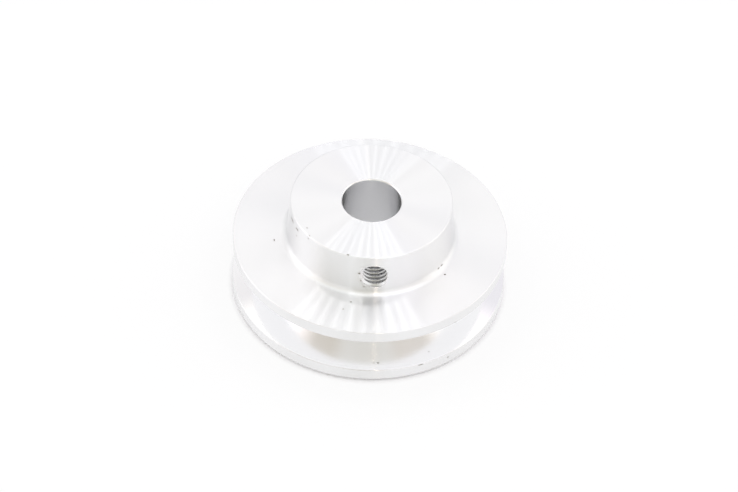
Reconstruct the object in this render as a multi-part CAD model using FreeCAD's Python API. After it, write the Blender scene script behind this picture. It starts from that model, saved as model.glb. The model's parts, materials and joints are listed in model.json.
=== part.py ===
import FreeCAD, Part
import math
import os

# A single-groove V-belt pulley, turned from one bar of aluminium, in millimetres.
# It stands on its back face: the origin is the middle of that face, and +Z runs up the bore to the hub.
# The tapped hole for the set screw points along -Y.

# Rim and belt groove
outer_diameter = 56.0
rim_width = 14.0
back_land_width = 3.1
front_land_width = 2.55
groove_floor_width = 3.6
groove_angle = 31.3
back_edge_chamfer = 0.65
front_edge_chamfer = 0.1
groove_edge_break = 0.1

# Hub, a little wider at its foot than at its end
hub_diameter = 33.0
hub_foot_diameter = 34.1
hub_projection = 9.4
hub_edge_chamfer = 0.15
hub_root_fillet = 1.3

# Bore
bore_diameter = 12.0
bore_chamfer = 0.2

# Set-screw hole, at its tapping size
screw_hole_diameter = 5.0
screw_above_rim = 4.7
cutter_overrun = 2.0

# Sizes that follow for the rim and groove
rim_radius = outer_diameter / 2
back_land_top = back_land_width
front_land_bottom = rim_width - front_land_width
wall_slope = math.tan(math.radians(groove_angle / 2))
groove_depth = (front_land_bottom - back_land_top - groove_floor_width) / 2 / wall_slope
groove_floor_radius = rim_radius - groove_depth
groove_floor_bottom = back_land_top + groove_depth * wall_slope
groove_floor_top = front_land_bottom - groove_depth * wall_slope

# Sizes that follow for the hub and bore
hub_radius = hub_diameter / 2
hub_foot_radius = hub_foot_diameter / 2
bore_radius = bore_diameter / 2
overall_length = rim_width + hub_projection
hub_wall_run = hub_foot_radius - hub_radius
hub_wall_rise = hub_projection - hub_edge_chamfer
hub_wall_length = math.hypot(hub_wall_run, hub_wall_rise)
root_angle = math.pi / 2 + math.atan(hub_wall_run / hub_wall_rise)
root_tangent = hub_root_fillet / math.tan(root_angle / 2)


def point(radius, height):
    """A point of the half section, in the XZ plane."""
    return FreeCAD.Vector(radius, 0, height)


def straight_runs(points):
    """Straight edges from each point to the next."""
    return [Part.LineSegment(start, end).toShape() for start, end in zip(points, points[1:])]


def root_fillet(start, end):
    """The arc that joins the rim's front face to the hub's wall."""
    corner = point(hub_foot_radius, rim_width)
    centre = start + FreeCAD.Vector(0, 0, hub_root_fillet)
    towards_corner = (corner - centre).normalize()
    return Part.Arc(start, centre + towards_corner * hub_root_fillet, end).toShape()


def half_section():
    """The section that is turned about the bore's axis, from the back of the bore round the rim and hub."""
    slope_drop = groove_edge_break * wall_slope
    wall_share = root_tangent / hub_wall_length
    outline_to_hub_root = [
        point(bore_radius, overall_length - bore_chamfer),
        point(bore_radius, bore_chamfer),
        point(bore_radius + bore_chamfer, 0),
        point(rim_radius - back_edge_chamfer, 0),
        point(rim_radius, back_edge_chamfer),
        point(rim_radius, back_land_top - groove_edge_break),
        point(rim_radius - groove_edge_break, back_land_top + slope_drop),
        point(groove_floor_radius, groove_floor_bottom),
        point(groove_floor_radius, groove_floor_top),
        point(rim_radius - groove_edge_break, front_land_bottom - slope_drop),
        point(rim_radius, front_land_bottom + groove_edge_break),
        point(rim_radius, rim_width - front_edge_chamfer),
        point(rim_radius - front_edge_chamfer, rim_width),
        point(hub_foot_radius + root_tangent, rim_width),
    ]
    outline_above_root = [
        point(hub_foot_radius - wall_share * hub_wall_run, rim_width + wall_share * hub_wall_rise),
        point(hub_radius, overall_length - hub_edge_chamfer),
        point(hub_radius - hub_edge_chamfer, overall_length),
        point(bore_radius + bore_chamfer, overall_length),
        point(bore_radius, overall_length - bore_chamfer),
    ]
    root = root_fillet(outline_to_hub_root[-1], outline_above_root[0])
    edges = straight_runs(outline_to_hub_root) + [root] + straight_runs(outline_above_root)
    return Part.Face(Part.Wire(edges))


def turned_body():
    """The section turned through a full circle."""
    return half_section().revolve(FreeCAD.Vector(0, 0, 0), FreeCAD.Vector(0, 0, 1), 360)


def screw_hole():
    """The drill that opens the hub's side into the bore, at right angles to it."""
    centre = FreeCAD.Vector(0, 0, rim_width + screw_above_rim)
    reach = hub_foot_radius + cutter_overrun
    return Part.makeCylinder(screw_hole_diameter / 2, reach, centre, FreeCAD.Vector(0, -1, 0))


pulley = turned_body().cut(screw_hole())

os.makedirs("parts", exist_ok=True)
pulley.exportStep("parts/pulley.step")
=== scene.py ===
"""A V-belt pulley turned from one bar of aluminium, standing on its back face on a white studio floor."""

import json
import math

import bpy
from bpy.props import FloatProperty, FloatVectorProperty, IntProperty, PointerProperty
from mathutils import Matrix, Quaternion, Vector


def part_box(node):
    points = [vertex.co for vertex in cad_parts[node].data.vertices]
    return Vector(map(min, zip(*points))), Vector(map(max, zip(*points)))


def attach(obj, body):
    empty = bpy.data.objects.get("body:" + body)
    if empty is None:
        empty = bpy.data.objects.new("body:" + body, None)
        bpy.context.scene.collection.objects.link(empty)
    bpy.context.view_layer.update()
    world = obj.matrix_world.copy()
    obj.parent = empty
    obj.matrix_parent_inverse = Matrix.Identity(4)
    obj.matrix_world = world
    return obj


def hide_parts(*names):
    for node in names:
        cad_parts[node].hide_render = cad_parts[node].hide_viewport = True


bl_info = {
    "name": "Turned V-Belt Pulley",
    "version": (1, 0, 0),
    "blender": (4, 5, 0),
    "location": "View3D > Sidebar > Pulley",
    "description": "Models a turned aluminium V-belt pulley with a tapped hole in its hub, on a white floor",
    "category": "Object",
}

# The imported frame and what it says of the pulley
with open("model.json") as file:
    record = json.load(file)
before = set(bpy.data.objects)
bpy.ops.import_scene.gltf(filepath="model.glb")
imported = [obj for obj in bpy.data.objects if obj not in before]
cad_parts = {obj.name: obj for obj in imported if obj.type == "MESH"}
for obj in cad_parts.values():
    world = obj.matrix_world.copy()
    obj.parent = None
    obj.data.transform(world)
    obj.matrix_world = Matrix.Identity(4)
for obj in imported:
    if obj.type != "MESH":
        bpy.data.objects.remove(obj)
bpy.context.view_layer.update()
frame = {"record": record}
mounts = {mount["name"]: mount for mount in frame["record"]["mounts"]}
high_corner = Vector(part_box("pulley")[1])

MM = 0.001
AXIS = Vector((0, 0, 1))

# How finely round shapes are divided
TURNING_STEPS = 512
ROUNDING_STEPS = 8
CORNER_STEPS = 3
THREAD_STEPS = 72
MARK_SUBDIVISIONS = 3
FLOOR_CORNERS = 128

# Each flank of a metric thread leans by this angle
THREAD_FLANK = math.radians(30)
# The tap starts and ends at least this many turns beyond the hole, and is then trimmed square
SPARE_TURNS = 2

MERGE_DISTANCE = 1e-6
SMOOTH_ANGLE = math.radians(28)
# Smooth normals follow the larger faces as far as they can
LARGE_FACE_WEIGHT = 100

# Wear marks seen on the pulley: angle from -Y towards +X in degrees, radius and height in mm, then the
# mark's length round the pulley, its width and its depth in mm
FACE_MARKS = (
    (-14.1, 19.9, 14.0, 0.38, 0.32, 0.08),
    (-16.9, 22.2, 14.0, 0.30, 0.30, 0.03),
    (-85.1, 19.7, 14.0, 0.60, 0.24, 0.05),
    (50.4, 18.8, 14.0, 0.40, 0.40, 0.12),
    (-60.1, 15.4, 23.4, 0.35, 0.22, 0.05),
    (-52.7, 16.3, 23.4, 0.40, 0.24, 0.06),
    (-19.7, 16.3, 23.4, 0.60, 0.35, 0.08),
)
WALL_MARKS = (
    (-77.0, 16.58, 21.8, 2.60, 0.35, 0.05),
    (-67.2, 16.58, 21.8, 1.40, 0.30, 0.05),
    (-66.8, 16.69, 20.1, 0.30, 0.30, 0.07),
    (-52.8, 16.53, 22.7, 0.40, 0.28, 0.06),
    (-9.6, 16.86, 17.3, 0.35, 0.35, 0.08),
    (-7.1, 16.90, 16.6, 0.30, 0.30, 0.08),
    (-7.2, 16.94, 15.8, 0.30, 0.25, 0.08),
    (-10.9, 16.74, 19.2, 0.60, 0.35, 0.04),
    (50.6, 17.14, 14.67, 0.60, 0.28, 0.10),
    (54.3, 17.15, 14.64, 0.70, 0.28, 0.10),
    (19.2, 28.0, 2.95, 1.20, 0.20, 0.08),
    (32.3, 28.0, 2.1, 0.40, 0.30, 0.07),
    (34.7, 27.95, 11.6, 0.40, 0.30, 0.08),
    (1.3, 26.35, 3.57, 0.45, 0.40, 0.12),
    (-0.5, 26.33, 3.58, 0.25, 0.22, 0.10),
    (25.0, 26.0, 3.66, 0.40, 0.40, 0.06),
)

# Noise seldom leaves this range
NOISE_LOW, NOISE_HIGH = 0.3, 0.7
# Height counts a little less than radius in the rings, so that a chamfer at 45 degrees has them too
RING_HEIGHT_SHARE = 0.83
# A quarter turn of the sheen, from along the rings to across them
ACROSS_RINGS = 0.25
# How much of a turned face's shine comes from its burnished streaks
BURNISHED_SHARE = 0.65

# The floor glows outside the pulley's edge and, more faintly, under its bore
FLOOR_GLOW = 0.80
BORE_GLOW = 0.45
GLOW_FADE = 1 * MM
# The floor lies this far below the back face, so that the two never share a plane
FLOOR_GAP = 0.01 * MM

# The light box round the pulley: the brightness of its plain walls, then of each area that is brighter or
# darker. An area has its middle's azimuth from -Y towards +X and elevation in degrees, the angles from there
# at which it is full and at which it ends, and what it adds to the walls in red, green and blue
WALL_LIGHT = (0.975, 0.98, 0.975)
LIGHT_BOX_AREAS = {
    "lid": (180, 72, 8, 26, (-0.24, -0.24, -0.20)),
    "zenith": (0, 88, 8, 24, (-0.08, -0.08, -0.10)),
    "front_left": (-60, 38, 12, 30, (-0.24, -0.29, -0.36)),
    "front_middle": (-4.9, 38, 12, 38, (-0.16, -0.18, -0.23)),
    "front_right": (52, 38, 12, 30, (-0.18, -0.23, -0.29)),
    "front_low": (-4.9, 8, 10, 30, (-0.45, -0.46, -0.50)),
    "upper_left": (-60, 62, 12, 26, (0.23, 0.26, 0.27)),
    "upper_right": (55, 62, 12, 26, (0.64, 0.64, 0.74)),
    "left_panel": (-133, 59, 5, 16, (0.41, 0.38, 0.34)),
    "right_panel": (133, 59, 5, 16, (0.38, 0.33, 0.33)),
    "low_left": (-92, 15, 18, 38, (0.45, 0.42, 0.43)),
    "low_right": (92, 15, 18, 36, (0.27, 0.24, 0.21)),
    "left_corner": (-138, 40, 8, 18, (-0.11, -0.13, -0.12)),
    "right_corner": (138, 40, 8, 18, (-0.10, -0.12, -0.08)),
    "back_low": (180, 15, 15, 35, (-0.32, -0.31, -0.28)),
    "back_middle": (180, 44, 10, 26, (0.22, 0.20, 0.20)),
}

# Two rows of small lamps under the lid, behind the pulley and in front of it: the middle of each row and the
# step from lamp to lamp in mm, and the row's share of the lamp power
LAMP_ROWS = {
    "back": ((0.95, 135.5, 374.6), (16.7, -3.1, 0.8), 1.0),
    "front": ((-3.35, -101.4, 375), (16.7, -3.1, 0), 1.2),
}
WHITE = (1, 1, 1)
WARM_WHITE = (1, 0.8, 0.62)
CLIP_START = 10 * MM


def linear(value):
    """One sRGB channel from 0 to 1, as linear light."""
    if value <= 0.04045:
        return value / 12.92
    return ((value + 0.055) / 1.055) ** 2.4


def colour(hex_code):
    """An sRGB hex code as linear red, green and blue."""
    return tuple(linear(int(hex_code[i : i + 2], 16) / 255) for i in (1, 3, 5))


class PulleySizes(bpy.types.PropertyGroup):
    """Sizes of the turned body"""

    outer_radius: FloatProperty(
        name="Outer radius",
        description="Radius of both flanges",
        default=high_corner.x,
        unit="LENGTH",
    )
    height: FloatProperty(
        name="Height",
        description="From the back face to the hub's end",
        default=high_corner.z,
        unit="LENGTH",
    )
    rim_width: FloatProperty(
        name="Rim width",
        description="From the back face to the upper flange's face",
        default=14 * MM,
        unit="LENGTH",
    )
    back_land: FloatProperty(
        name="Back land",
        description="Width of the back flange at its edge",
        default=3.1 * MM,
        unit="LENGTH",
    )
    front_land: FloatProperty(
        name="Front land",
        description="Width of the front flange at its edge",
        default=2.55 * MM,
        unit="LENGTH",
    )
    groove_floor_width: FloatProperty(
        name="Groove floor width",
        description="Width of the belt groove's floor",
        default=3.6 * MM,
        unit="LENGTH",
    )
    groove_angle: FloatProperty(
        name="Groove angle",
        description="Angle between the groove's walls",
        default=math.radians(31.3),
        subtype="ANGLE",
    )
    groove_corner: FloatProperty(
        name="Groove corner",
        description="Radius in the groove's two corners",
        default=0.3 * MM,
        unit="LENGTH",
    )
    groove_edge: FloatProperty(
        name="Groove edge",
        description="Broken edges of the groove's mouth",
        default=0.1 * MM,
        unit="LENGTH",
    )
    back_chamfer: FloatProperty(
        name="Back chamfer",
        description="Chamfer of the edge that the pulley stands on",
        default=0.65 * MM,
        unit="LENGTH",
    )
    front_chamfer: FloatProperty(
        name="Front chamfer",
        description="Broken edge of the front flange",
        default=0.1 * MM,
        unit="LENGTH",
    )
    hub_radius: FloatProperty(
        name="Hub radius",
        description="Radius of the hub at its end",
        default=16.5 * MM,
        unit="LENGTH",
    )
    hub_foot_radius: FloatProperty(
        name="Hub foot radius",
        description="Radius of the hub at the flange",
        default=17.05 * MM,
        unit="LENGTH",
    )
    hub_edge: FloatProperty(
        name="Hub edge",
        description="Rounded edge of the hub's end",
        default=0.3 * MM,
        unit="LENGTH",
    )
    root_fillet: FloatProperty(
        name="Root fillet",
        description="Radius where the hub meets the flange",
        default=1.3 * MM,
        unit="LENGTH",
    )
    bore_radius: FloatProperty(
        name="Bore radius",
        description="Radius of the through bore",
        default=mounts["bore"]["dims"]["r_mm"] * MM,
        unit="LENGTH",
    )
    bore_chamfer: FloatProperty(
        name="Bore chamfer",
        description="Broken edges of the bore's two mouths",
        default=0.2 * MM,
        unit="LENGTH",
    )


class ThreadSizes(bpy.types.PropertyGroup):
    """Sizes of the set screw's tapped hole"""

    crest_radius: FloatProperty(
        name="Crest radius",
        description="Radius of the tapping drill, which leaves the thread's crests",
        default=mounts["set_screw_hole"]["dims"]["r_mm"] * MM,
        unit="LENGTH",
    )
    root_radius: FloatProperty(
        name="Root radius",
        description="Radius of the thread's roots",
        default=3 * MM,
        unit="LENGTH",
    )
    pitch: FloatProperty(
        name="Pitch",
        description="From one crest to the next",
        default=1 * MM,
        unit="LENGTH",
    )
    height: FloatProperty(
        name="Hole height",
        description="Height of the hole's axis above the back face",
        default=mounts["set_screw_hole"]["pos_m"][2],
        unit="LENGTH",
    )
    inner_end: FloatProperty(
        name="Inner end",
        description="Distance from the bore's axis to the tap's inner end",
        default=3 * MM,
        unit="LENGTH",
    )
    outer_end: FloatProperty(
        name="Outer end",
        description="Distance from the bore's axis to the tap's outer end",
        default=18.5 * MM,
        unit="LENGTH",
    )


class FinishSettings(bpy.types.PropertyGroup):
    """Colours of the metal, the dull grey-brown in the nicks and the floor"""

    aluminium: FloatVectorProperty(
        name="Aluminium",
        description="Colour of bare turned aluminium",
        default=colour("#FAFAFB"),
        subtype="COLOR",
    )
    # The dull grey-brown that the nicks are given, darker than the metal round them
    nick_fill: FloatVectorProperty(
        name="Dirt",
        description="Colour of swarf and oil left in nicks",
        default=colour("#8C877E"),
        subtype="COLOR",
    )
    floor: FloatVectorProperty(
        name="Floor",
        description="Colour of the studio floor",
        default=colour("#F9F9FB"),
        subtype="COLOR",
    )


class StageSettings(bpy.types.PropertyGroup):
    """The floor, the lamps and the camera"""

    floor_radius: FloatProperty(
        name="Floor radius",
        description="Radius of the floor",
        default=3,
        unit="LENGTH",
    )
    lamp_count: IntProperty(
        name="Lamps",
        description="Lamps in each of the two overhead rows",
        default=10,
    )
    lamp_power: FloatProperty(
        name="Lamp power",
        description="Power of each lamp in the back row",
        default=0.0046,
        unit="POWER",
    )
    lamp_size: FloatProperty(
        name="Lamp size",
        description="Diameter of each lamp in the two rows",
        default=5 * MM,
        unit="LENGTH",
    )
    warm_lamp_power: FloatProperty(
        name="Warm lamp power",
        description="Power of the warm lamp beside the camera",
        default=0.046,
        unit="POWER",
    )
    warm_lamp_size: FloatProperty(
        name="Warm lamp size",
        description="Diameter of the warm lamp",
        default=15 * MM,
        unit="LENGTH",
    )
    warm_lamp_place: FloatVectorProperty(
        name="Warm lamp place",
        description="Where the warm lamp hangs",
        default=(50 * MM, -440 * MM, 470 * MM),
        subtype="XYZ",
        unit="LENGTH",
    )
    azimuth: FloatProperty(
        name="Azimuth",
        description="Where the camera stands, from -Y towards +X",
        default=math.radians(-4.9),
        subtype="ANGLE",
    )
    elevation: FloatProperty(
        name="Elevation",
        description="How far the camera stands above the level",
        default=math.radians(45.37),
        subtype="ANGLE",
    )
    roll: FloatProperty(
        name="Roll",
        description="How far the camera leans to its left",
        default=math.radians(2.857),
        subtype="ANGLE",
    )
    distance: FloatProperty(
        name="Distance",
        description="From the camera to the point it looks at",
        default=0.64207,
        unit="LENGTH",
    )
    aim: FloatVectorProperty(
        name="Aim",
        description="The point that the camera looks at",
        default=(-0.096 * MM, 0.078 * MM, 10.167 * MM),
        subtype="XYZ",
        unit="LENGTH",
    )
    lens: FloatProperty(
        name="Lens",
        description="Focal length in millimetres",
        default=152.83,
        unit="CAMERA",
    )


def deselect_all():
    """Leaves object mode with nothing selected."""
    if bpy.context.object and bpy.context.object.mode != "OBJECT":
        bpy.ops.object.mode_set(mode="OBJECT")
    bpy.ops.object.select_all(action="DESELECT")


def select_only(pieces):
    """Selects these objects alone and makes the first one active."""
    deselect_all()
    for piece in pieces:
        piece.select_set(True)
    bpy.context.view_layer.objects.active = pieces[0]


def draw_outline(name, points):
    """A chain of edges through the points: one vertex, extruded from each point to the next."""
    deselect_all()
    bpy.ops.mesh.primitive_plane_add(size=MM, location=points[0])
    outline = bpy.context.object
    outline.name = name
    bpy.ops.object.transform_apply(location=True, rotation=True, scale=True)
    bpy.ops.object.mode_set(mode="EDIT")
    bpy.ops.mesh.select_all(action="SELECT")
    bpy.ops.mesh.merge(type="CENTER")
    for start, end in zip(points, points[1:]):
        step = {"value": Vector(end) - Vector(start)}
        bpy.ops.mesh.extrude_vertices_move(TRANSFORM_OT_translate=step)
    bpy.ops.object.mode_set(mode="OBJECT")
    return outline


def close_mesh(piece):
    """Merges the doubles of a mesh and turns its faces outwards."""
    select_only([piece])
    bpy.ops.object.mode_set(mode="EDIT")
    bpy.ops.mesh.select_all(action="SELECT")
    bpy.ops.mesh.remove_doubles(threshold=MERGE_DISTANCE)
    bpy.ops.mesh.normals_make_consistent(inside=False)
    bpy.ops.object.mode_set(mode="OBJECT")


def apply_modifier(piece, kind, settings):
    """Adds one modifier with its settings and applies it."""
    select_only([piece])
    modifier = piece.modifiers.new(kind.lower(), kind)
    for name, value in settings.items():
        setattr(modifier, name, value)
    bpy.ops.object.modifier_apply(modifier=modifier.name)


def cut_away(piece, cutter):
    """Cuts one closed mesh out of another, keeps the cutter's material on the cut and deletes the cutter."""
    settings = {
        "operation": "DIFFERENCE",
        "solver": "EXACT",
        "material_mode": "TRANSFER",
        "object": cutter,
    }
    apply_modifier(piece, "BOOLEAN", settings)
    select_only([cutter])
    bpy.ops.object.delete()


def shade_turned(piece):
    """Smooth shading on turned surfaces, sharp at their edges, with flat faces left flat."""
    select_only([piece])
    bpy.ops.object.shade_smooth_by_angle(angle=SMOOTH_ANGLE, keep_sharp_edges=False)
    apply_modifier(piece, "WEIGHTED_NORMAL", {"keep_sharp": True, "weight": LARGE_FACE_WEIGHT})


def arc(centre, radius, start, end, steps):
    """Points of an arc in the XZ plane about a centre, from one angle to another."""
    angles = [start + (end - start) * step / steps for step in range(steps + 1)]
    return [
        (centre[0] + radius * math.cos(angle), 0, centre[1] + radius * math.sin(angle))
        for angle in angles
    ]


def groove_section(sizes):
    """The belt groove from its lower lip, in along the wall, round the floor's two corners and out again."""
    half_angle = sizes.groove_angle / 2
    slope = math.tan(half_angle)
    low_lip = sizes.back_land
    high_lip = sizes.rim_width - sizes.front_land
    depth = (high_lip - low_lip - sizes.groove_floor_width) / 2 / slope
    floor_radius = sizes.outer_radius - depth
    edge = sizes.groove_edge

    # The wall rises inwards, so each corner turns through less than a right angle
    tangent = sizes.groove_corner * math.tan((math.pi / 2 - half_angle) / 2)
    centre = (floor_radius + sizes.groove_corner, low_lip + depth * slope + tangent)
    low_corner = arc(centre, sizes.groove_corner, -math.pi / 2 - half_angle, -math.pi, CORNER_STEPS)
    lower_half = [
        (sizes.outer_radius, 0, low_lip - edge),
        (sizes.outer_radius - edge, 0, low_lip + edge * slope),
        *low_corner,
    ]
    return lower_half + [(x, y, low_lip + high_lip - z) for x, y, z in reversed(lower_half)]


def root_section(sizes):
    """The fillet from the flange's face up to the hub's wall, which leans inwards."""
    run = sizes.hub_foot_radius - sizes.hub_radius
    rise = sizes.height - sizes.hub_edge - sizes.rim_width
    lean = math.atan(run / rise)
    tangent = sizes.root_fillet / math.tan((math.pi / 2 + lean) / 2)
    centre = (sizes.hub_foot_radius + tangent, sizes.rim_width + sizes.root_fillet)
    return arc(centre, sizes.root_fillet, -math.pi / 2, -math.pi + lean, ROUNDING_STEPS)


def hub_edge_section(sizes):
    """The rounded edge between the hub's wall and its end."""
    centre = (sizes.hub_radius - sizes.hub_edge, sizes.height - sizes.hub_edge)
    return arc(centre, sizes.hub_edge, 0, math.pi / 2, ROUNDING_STEPS)


def pulley_section(sizes):
    """The half section in the XZ plane, from the top of the bore down, round the rim and up the hub."""
    bore_mouth = sizes.bore_radius + sizes.bore_chamfer
    return [
        (sizes.bore_radius, 0, sizes.height - sizes.bore_chamfer),
        (sizes.bore_radius, 0, sizes.bore_chamfer),
        (bore_mouth, 0, 0),
        (sizes.outer_radius - sizes.back_chamfer, 0, 0),
        (sizes.outer_radius, 0, sizes.back_chamfer),
        *groove_section(sizes),
        (sizes.outer_radius, 0, sizes.rim_width - sizes.front_chamfer),
        (sizes.outer_radius - sizes.front_chamfer, 0, sizes.rim_width),
        *root_section(sizes),
        *hub_edge_section(sizes),
        (bore_mouth, 0, sizes.height),
        (sizes.bore_radius, 0, sizes.height - sizes.bore_chamfer),
    ]


def tap_profile(sizes):
    """One pitch of the tap's outline beside its axis: root flat, flank, crest flat, flank."""
    flank = (sizes.root_radius - sizes.crest_radius) * math.tan(THREAD_FLANK)
    root_flat = sizes.pitch / 8
    crest_flat = sizes.pitch - root_flat - 2 * flank
    start = -sizes.inner_end + sizes.pitch * SPARE_TURNS
    steps = (
        (sizes.root_radius, 0),
        (sizes.root_radius, root_flat),
        (sizes.crest_radius, root_flat + flank),
        (sizes.crest_radius, root_flat + flank + crest_flat),
        (sizes.root_radius, sizes.pitch),
    )
    return [(radius, start - along, 0) for radius, along in steps]


def trim_end(piece, distance, outwards):
    """Cuts a piece square across at this distance along -Y and drops what lies on the outward side of Y."""
    select_only([piece])
    bpy.ops.object.mode_set(mode="EDIT")
    bpy.ops.mesh.select_all(action="SELECT")
    bpy.ops.mesh.bisect(
        plane_co=(0, -distance, 0),
        plane_no=(0, outwards, 0),
        use_fill=True,
        clear_outer=True,
        threshold=MERGE_DISTANCE,
    )
    bpy.ops.object.mode_set(mode="OBJECT")


def paint_faces(piece, material, chosen):
    """Gives a material to the faces whose radius and height are chosen."""
    select_only([piece])
    piece.data.materials.append(material)
    piece.active_material_index = len(piece.data.materials) - 1
    bpy.ops.object.mode_set(mode="EDIT")
    bpy.ops.mesh.select_mode(type="FACE")
    bpy.ops.mesh.select_all(action="DESELECT")
    bpy.ops.object.mode_set(mode="OBJECT")
    for face in piece.data.polygons:
        face.select = chosen(math.hypot(face.center.x, face.center.y), face.center.z)
    bpy.ops.object.mode_set(mode="EDIT")
    bpy.ops.object.material_slot_assign()
    bpy.ops.mesh.select_mode(type="VERT")
    bpy.ops.object.mode_set(mode="OBJECT")


def mark_cutter(mark, on_face):
    """A small squashed ball that leaves one nick, in a flat face or in a turned wall."""
    angle, radius, height, length, width, depth = mark
    turn = math.radians(angle)
    place = Vector((radius * math.sin(turn), -radius * math.cos(turn), height)) * MM
    deselect_all()
    bpy.ops.mesh.primitive_ico_sphere_add(
        subdivisions=MARK_SUBDIVISIONS, radius=MM, location=place, rotation=(0, 0, turn)
    )
    cutter = bpy.context.object
    if on_face:
        cutter.scale = (length / 2, width / 2, depth)
    else:
        cutter.scale = (length / 2, depth, width / 2)
    bpy.ops.object.transform_apply(location=True, rotation=True, scale=True)
    return cutter


def add_node(tree, kind, settings=None, inputs=None):
    """Adds one node, with its settings and with a value or a link for each input named."""
    node = tree.nodes.new(kind)
    for name, value in (settings or {}).items():
        setattr(node, name, value)
    for name, value in (inputs or {}).items():
        if isinstance(value, bpy.types.NodeSocket):
            tree.links.new(value, node.inputs[name])
        else:
            node.inputs[name].default_value = value
    return node


def new_material(name):
    """An empty material with nodes, and its tree."""
    material = bpy.data.materials.new(name)
    material.use_nodes = True
    material.node_tree.nodes.clear()
    return material, material.node_tree


def ring_tangent(tree):
    """The direction round the axis."""
    place = add_node(tree, "ShaderNodeTexCoord").outputs["Object"]
    inputs = {0: AXIS, 1: place}
    circle = add_node(tree, "ShaderNodeVectorMath", {"operation": "CROSS_PRODUCT"}, inputs)
    inputs = {0: circle.outputs[0]}
    return add_node(tree, "ShaderNodeVectorMath", {"operation": "NORMALIZE"}, inputs).outputs[0]


def ring_roughness(tree, spacing, low, high):
    """Roughness that runs in rings round the axis, and on along walls, with this spacing."""
    place = add_node(tree, "ShaderNodeTexCoord").outputs["Object"]
    inputs = {0: place, 1: (1, 1, 0)}
    across = add_node(tree, "ShaderNodeVectorMath", {"operation": "MULTIPLY"}, inputs)
    radius = add_node(tree, "ShaderNodeVectorMath", {"operation": "LENGTH"}, {0: across.outputs[0]})
    height = add_node(tree, "ShaderNodeSeparateXYZ", None, {0: place})
    inputs = {0: height.outputs["Z"], 1: RING_HEIGHT_SHARE, 2: radius.outputs["Value"]}
    along = add_node(tree, "ShaderNodeMath", {"operation": "MULTIPLY_ADD"}, inputs)
    inputs = {"W": along.outputs[0], "Scale": 1 / spacing, "Detail": 1.0}
    rings = add_node(tree, "ShaderNodeTexNoise", {"noise_dimensions": "1D"}, inputs)
    inputs = {
        "Value": rings.outputs[0],
        "From Min": NOISE_LOW,
        "From Max": NOISE_HIGH,
        "To Min": low,
        "To Max": high,
    }
    return add_node(tree, "ShaderNodeMapRange", None, inputs).outputs[0]


def bare_aluminium(finish):
    """Bare aluminium's colour and shine, as inputs for its shader."""
    return {"Base Color": (*finish.aluminium, 1), "Metallic": 1.0}


def ringed_aluminium(tree, finish, roughness, anisotropy):
    """Bare aluminium whose fine rings round the axis draw its highlights out across them."""
    inputs = {
        **bare_aluminium(finish),
        "Roughness": roughness,
        "Anisotropic": anisotropy,
        "Anisotropic Rotation": ACROSS_RINGS,
        "Tangent": ring_tangent(tree),
    }
    return add_node(tree, "ShaderNodeBsdfPrincipled", None, inputs).outputs[0]


def turned_aluminium(finish):
    """Aluminium bar, turned on a lathe: its feed marks give the faces a soft sheen with radial streaks."""
    material, tree = new_material("turned_aluminium")
    # Feed marks, drawn 0.3 mm apart so that they just show
    roughness = ring_roughness(tree, 0.3 * MM, 0.282, 0.288)
    sheen = ringed_aluminium(tree, finish, roughness, 1.0)
    # The bottoms of the marks are burnished by the tool, and draw each lamp out into a narrow streak
    inputs = {
        "Color": (*finish.aluminium, 1),
        "Roughness": 0.23,
        "Anisotropy": 0.84,
        "Tangent": ring_tangent(tree),
    }
    streaks = add_node(tree, "ShaderNodeBsdfAnisotropic", {"distribution": "GGX"}, inputs)
    inputs = {0: BURNISHED_SHARE, 1: sheen, 2: streaks.outputs[0]}
    mix = add_node(tree, "ShaderNodeMixShader", None, inputs)
    add_node(tree, "ShaderNodeOutputMaterial", None, {"Surface": mix.outputs[0]})
    return material


def form_turned_aluminium(finish):
    """The belt groove's walls, finished with a broad form tool: so smooth that they mirror each other."""
    material, tree = new_material("form_turned_aluminium")
    # The tool's own grinding marks, drawn as coarse as 0.3 mm so that they just show
    roughness = ring_roughness(tree, 0.3 * MM, 0.08, 0.11)
    metal = ringed_aluminium(tree, finish, roughness, 0.8)
    add_node(tree, "ShaderNodeOutputMaterial", None, {"Surface": metal})
    return material


def reamed_aluminium(finish):
    """The bore's wall, left smooth by the reamer: darker, with light drawn out along the bore."""
    material, tree = new_material("reamed_aluminium")
    # Rings where the reamer's edges paused, drawn 0.2 mm apart so that they just show
    roughness = ring_roughness(tree, 0.2 * MM, 0.16, 0.22)
    metal = ringed_aluminium(tree, finish, roughness, 1.0)
    add_node(tree, "ShaderNodeOutputMaterial", None, {"Surface": metal})
    return material


def tapped_aluminium(finish):
    """Aluminium cut and a little torn by a tap: bright patches among duller, rougher ones."""
    material, tree = new_material("tapped_aluminium")
    place = add_node(tree, "ShaderNodeTexCoord").outputs["Object"]
    # The tap tears the metal in shreds of about 0.2 mm
    inputs = {"Vector": place, "Scale": 1 / (0.2 * MM), "Detail": 3.0}
    torn = add_node(tree, "ShaderNodeTexNoise", None, inputs).outputs[0]
    inputs = {"Value": torn, "To Min": 0.18, "To Max": 0.42}
    roughness = add_node(tree, "ShaderNodeMapRange", None, inputs)
    inputs = {"Height": torn, "Strength": 0.3, "Distance": 0.01 * MM}
    bump = add_node(tree, "ShaderNodeBump", None, inputs)
    inputs = {
        **bare_aluminium(finish),
        "Roughness": roughness.outputs[0],
        "Normal": bump.outputs[0],
    }
    metal = add_node(tree, "ShaderNodeBsdfPrincipled", None, inputs)
    add_node(tree, "ShaderNodeOutputMaterial", None, {"Surface": metal.outputs[0]})
    return material


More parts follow.
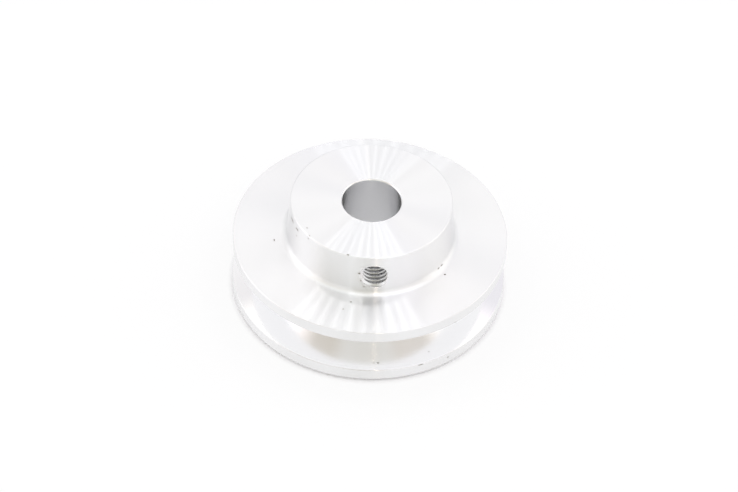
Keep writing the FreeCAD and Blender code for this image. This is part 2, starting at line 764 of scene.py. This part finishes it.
def grey_brown_nick_fill(finish):
    """A dull grey-brown in the nicks, darker than the metal round them, so that they show as specks."""
    material, tree = new_material("grey_brown_nick_fill")
    place = add_node(tree, "ShaderNodeTexCoord").outputs["Object"]
    # Grains of about 0.1 mm
    inputs = {"Vector": place, "Scale": 1 / (0.1 * MM), "Detail": 2.0}
    grains = add_node(tree, "ShaderNodeTexNoise", None, inputs)
    inputs = {"Value": grains.outputs[0], "To Min": 0.6, "To Max": 0.9}
    roughness = add_node(tree, "ShaderNodeMapRange", None, inputs)
    inputs = {"Base Color": (*finish.nick_fill, 1), "Metallic": 0.3, "Roughness": roughness.outputs[0]}
    nick_fill = add_node(tree, "ShaderNodeBsdfPrincipled", None, inputs)
    add_node(tree, "ShaderNodeOutputMaterial", None, {"Surface": nick_fill.outputs[0]})
    return material


class PULLEY_OT_turned_body(bpy.types.Operator):
    """Turns the whole pulley from its half section"""

    bl_idname = "pulley.turned_body"
    bl_label = "Turned Body"

    def execute(self, context):
        sizes = context.scene.pulley_sizes
        finish = context.scene.pulley_finish
        body = draw_outline("pulley_turned", pulley_section(sizes))
        close_mesh(body)
        bpy.ops.object.mode_set(mode="EDIT")
        bpy.ops.mesh.select_all(action="SELECT")
        bpy.ops.mesh.spin(steps=TURNING_STEPS, angle=2 * math.pi, center=(0, 0, 0), axis=AXIS)
        bpy.ops.object.mode_set(mode="OBJECT")
        close_mesh(body)

        low_lip = sizes.back_land
        high_lip = sizes.rim_width - sizes.front_land
        middle_of_chamfer = sizes.bore_radius + sizes.bore_chamfer / 2

        def in_groove(radius, height):
            return radius > sizes.hub_radius and low_lip < height < high_lip

        def in_bore(radius, height):
            return radius < middle_of_chamfer

        body.data.materials.append(turned_aluminium(finish))
        paint_faces(body, form_turned_aluminium(finish), in_groove)
        paint_faces(body, reamed_aluminium(finish), in_bore)
        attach(body, "root")
        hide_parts("pulley")
        return {"FINISHED"}


class PULLEY_OT_tapped_hole(bpy.types.Operator):
    """Taps the set screw's hole through the hub's wall"""

    bl_idname = "pulley.tapped_hole"
    bl_label = "Tapped Hole"

    def execute(self, context):
        sizes = context.scene.pulley_thread
        tap = draw_outline("tap", tap_profile(sizes))
        turns = math.ceil((sizes.outer_end - sizes.inner_end) / sizes.pitch) + 2 * SPARE_TURNS
        screw = {
            "axis": "Y",
            "angle": -2 * math.pi,
            "screw_offset": -sizes.pitch,
            "iterations": turns,
            "steps": THREAD_STEPS,
            "render_steps": THREAD_STEPS,
        }
        apply_modifier(tap, "SCREW", screw)
        close_mesh(tap)
        trim_end(tap, sizes.inner_end, outwards=1)
        trim_end(tap, sizes.outer_end, outwards=-1)
        tap.location.z = sizes.height
        bpy.ops.object.transform_apply(location=True, rotation=True, scale=True)
        close_mesh(tap)
        tap.data.materials.append(tapped_aluminium(context.scene.pulley_finish))
        cut_away(bpy.data.objects["pulley_turned"], tap)
        return {"FINISHED"}


class PULLEY_OT_wear_marks(bpy.types.Operator):
    """Cuts the nicks that handling has left"""

    bl_idname = "pulley.wear_marks"
    bl_label = "Wear Marks"

    def execute(self, context):
        cutters = [mark_cutter(mark, on_face=True) for mark in FACE_MARKS]
        cutters += [mark_cutter(mark, on_face=False) for mark in WALL_MARKS]
        select_only(cutters)
        bpy.ops.object.join()
        # The cut faces of each nick take a dull grey-brown, darker than the metal round them
        cutters[0].data.materials.append(grey_brown_nick_fill(context.scene.pulley_finish))
        body = bpy.data.objects["pulley_turned"]
        cut_away(body, cutters[0])
        shade_turned(body)
        return {"FINISHED"}


def direction_to(azimuth, elevation):
    """A direction that points this far round from -Y towards +X and this far above the level."""
    level = math.cos(elevation)
    return Vector((math.sin(azimuth) * level, -math.cos(azimuth) * level, math.sin(elevation)))


def floor_glow(tree, sizes):
    """How much of the floor's look is its own glow, by distance from the pulley's axis."""
    place = add_node(tree, "ShaderNodeTexCoord").outputs["Object"]
    distance = add_node(tree, "ShaderNodeVectorMath", {"operation": "LENGTH"}, {0: place}).outputs["Value"]
    inputs = {
        "Value": distance,
        "From Min": sizes.outer_radius,
        "From Max": sizes.outer_radius + GLOW_FADE,
        "To Max": FLOOR_GLOW,
    }
    outside = add_node(tree, "ShaderNodeMapRange", None, inputs)
    inputs = {
        "Value": distance,
        "From Min": sizes.bore_radius - GLOW_FADE,
        "From Max": sizes.bore_radius,
        "To Min": BORE_GLOW,
        "To Max": 0.0,
    }
    under_bore = add_node(tree, "ShaderNodeMapRange", None, inputs)
    inputs = {0: outside.outputs[0], 1: under_bore.outputs[0]}
    return add_node(tree, "ShaderNodeMath", {"operation": "MAXIMUM"}, inputs).outputs[0]


def studio_floor(finish, sizes):
    """Matt white acrylic sheet lit from all round: almost white, with the pulley's soft shadow on it."""
    material, tree = new_material("matt_white_acrylic")
    path = add_node(tree, "ShaderNodeLightPath").outputs
    inputs = {0: path["Is Camera Ray"], 1: path["Is Glossy Ray"]}
    seen = add_node(tree, "ShaderNodeMath", {"operation": "MAXIMUM"}, inputs)
    inputs = {0: seen.outputs[0], 1: path["Is Transmission Ray"]}
    seen = add_node(tree, "ShaderNodeMath", {"operation": "MAXIMUM"}, inputs)
    inputs = {0: seen.outputs[0], 1: floor_glow(tree, sizes)}
    share = add_node(tree, "ShaderNodeMath", {"operation": "MULTIPLY"}, inputs)
    inputs = {"Base Color": (*finish.floor, 1), "Roughness": 1.0, "Specular IOR Level": 0}
    matt = add_node(tree, "ShaderNodeBsdfPrincipled", None, inputs)
    glow = add_node(tree, "ShaderNodeEmission", None, {"Color": (*WHITE, 1), "Strength": 1.0})
    inputs = {0: share.outputs[0], 1: matt.outputs[0], 2: glow.outputs[0]}
    mix = add_node(tree, "ShaderNodeMixShader", None, inputs)
    add_node(tree, "ShaderNodeOutputMaterial", None, {"Surface": mix.outputs[0]})
    return material


def studio_world():
    """A white light box with brighter and darker areas, behind a plain white background."""
    world = bpy.data.worlds.new("light_box")
    world.use_nodes = True
    tree = world.node_tree
    tree.nodes.clear()
    direction = add_node(tree, "ShaderNodeTexCoord").outputs["Generated"]
    light = WALL_LIGHT
    for azimuth, elevation, inner, outer, strengths in LIGHT_BOX_AREAS.values():
        inputs = {0: direction, 1: direction_to(math.radians(azimuth), math.radians(elevation))}
        facing = add_node(tree, "ShaderNodeVectorMath", {"operation": "DOT_PRODUCT"}, inputs)
        inputs = {0: facing.outputs["Value"]}
        angle = add_node(tree, "ShaderNodeMath", {"operation": "ARCCOSINE"}, inputs)
        inputs = {
            "Value": angle.outputs[0],
            "From Min": math.radians(outer),
            "From Max": math.radians(inner),
        }
        share = add_node(tree, "ShaderNodeMapRange", {"interpolation_type": "SMOOTHSTEP"}, inputs)
        inputs = {0: share.outputs[0], 1: strengths, 2: light}
        light = add_node(tree, "ShaderNodeVectorMath", {"operation": "MULTIPLY_ADD"}, inputs).outputs[0]
    box = add_node(tree, "ShaderNodeBackground", None, {"Color": light, "Strength": 1.0})
    white = add_node(tree, "ShaderNodeBackground", None, {"Color": (*WHITE, 1), "Strength": 1.0})
    camera_ray = add_node(tree, "ShaderNodeLightPath").outputs["Is Camera Ray"]
    inputs = {0: camera_ray, 1: box.outputs[0], 2: white.outputs[0]}
    mix = add_node(tree, "ShaderNodeMixShader", None, inputs)
    add_node(tree, "ShaderNodeOutputWorld", None, {"Surface": mix.outputs[0]})
    bpy.context.scene.world = world


def add_lamp(name, place, size, power, tint):
    """A round lamp that faces the pulley."""
    facing = (-place).to_track_quat("-Z", "Y").to_euler()
    bpy.ops.object.light_add(type="AREA", location=place, rotation=facing)
    lamp = bpy.context.object
    lamp.name = name
    lamp.data.shape = "DISK"
    lamp.data.size = size
    lamp.data.energy = power
    lamp.data.color = tint


def add_lamps(stage):
    """The two rows of small lamps under the lid, and a small warm lamp beside the camera."""
    for row, (middle, step, share) in LAMP_ROWS.items():
        for index in range(stage.lamp_count):
            steps_from_middle = index - (stage.lamp_count - 1) / 2
            place = (Vector(middle) + Vector(step) * steps_from_middle) * MM
            add_lamp(f"lamp_{row}_{index:02d}", place, stage.lamp_size, stage.lamp_power * share, WHITE)
    warm_place = Vector(stage.warm_lamp_place)
    add_lamp("lamp_camera", warm_place, stage.warm_lamp_size, stage.warm_lamp_power, WARM_WHITE)


def add_camera(stage):
    """The camera, with the photo's viewing angle, and the scene's view transform."""
    towards = direction_to(stage.azimuth, stage.elevation)
    place = Vector(stage.aim) + towards * stage.distance
    facing = (-towards).to_track_quat("-Z", "Y") @ Quaternion((0, 0, 1), stage.roll)
    bpy.ops.object.camera_add(location=place, rotation=facing.to_euler())
    camera = bpy.context.object
    camera.name = "camera"
    camera.data.lens = stage.lens
    camera.data.clip_start = CLIP_START
    bpy.context.scene.camera = camera
    bpy.context.scene.view_settings.view_transform = "Standard"


class PULLEY_OT_stage(bpy.types.Operator):
    """Sets the white floor, the light box with its rows of lamps, and the camera"""

    bl_idname = "pulley.stage"
    bl_label = "Stage"

    def execute(self, context):
        stage = context.scene.pulley_stage
        deselect_all()
        bpy.ops.mesh.primitive_circle_add(
            vertices=FLOOR_CORNERS,
            radius=stage.floor_radius,
            fill_type="NGON",
            location=(0, 0, -FLOOR_GAP),
        )
        floor = context.object
        floor.name = "floor"
        bpy.ops.object.transform_apply(location=True, rotation=True, scale=True)
        floor.data.materials.append(studio_floor(context.scene.pulley_finish, context.scene.pulley_sizes))
        studio_world()
        add_lamps(stage)
        add_camera(stage)
        return {"FINISHED"}


class PULLEY_PT_panel(bpy.types.Panel):
    """Lists the pulley's operators"""

    bl_idname = "PULLEY_PT_panel"
    bl_label = "Turned Pulley"
    bl_space_type = "VIEW_3D"
    bl_region_type = "UI"
    bl_category = "Pulley"

    def draw(self, context):
        for operator in OPERATORS:
            self.layout.operator(operator.bl_idname)


OPERATORS = (PULLEY_OT_turned_body, PULLEY_OT_tapped_hole, PULLEY_OT_wear_marks, PULLEY_OT_stage)
GROUPS = {
    "pulley_sizes": PulleySizes,
    "pulley_thread": ThreadSizes,
    "pulley_finish": FinishSettings,
    "pulley_stage": StageSettings,
}


def register():
    """Adds the settings to the scene, then the operators and the panel."""
    for name, group in GROUPS.items():
        bpy.utils.register_class(group)
        setattr(bpy.types.Scene, name, PointerProperty(type=group))
    for operator in OPERATORS:
        bpy.utils.register_class(operator)
    bpy.utils.register_class(PULLEY_PT_panel)


def unregister():
    """Takes the panel, the operators and the settings out again."""
    bpy.utils.unregister_class(PULLEY_PT_panel)
    for operator in reversed(OPERATORS):
        bpy.utils.unregister_class(operator)
    for name, group in reversed(GROUPS.items()):
        delattr(bpy.types.Scene, name)
        bpy.utils.unregister_class(group)


def main():
    """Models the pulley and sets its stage."""
    register()
    bpy.ops.pulley.turned_body()
    bpy.ops.pulley.tapped_hole()
    bpy.ops.pulley.wear_marks()
    bpy.ops.pulley.stage()
    deselect_all()


if __name__ == "__main__":
    main()
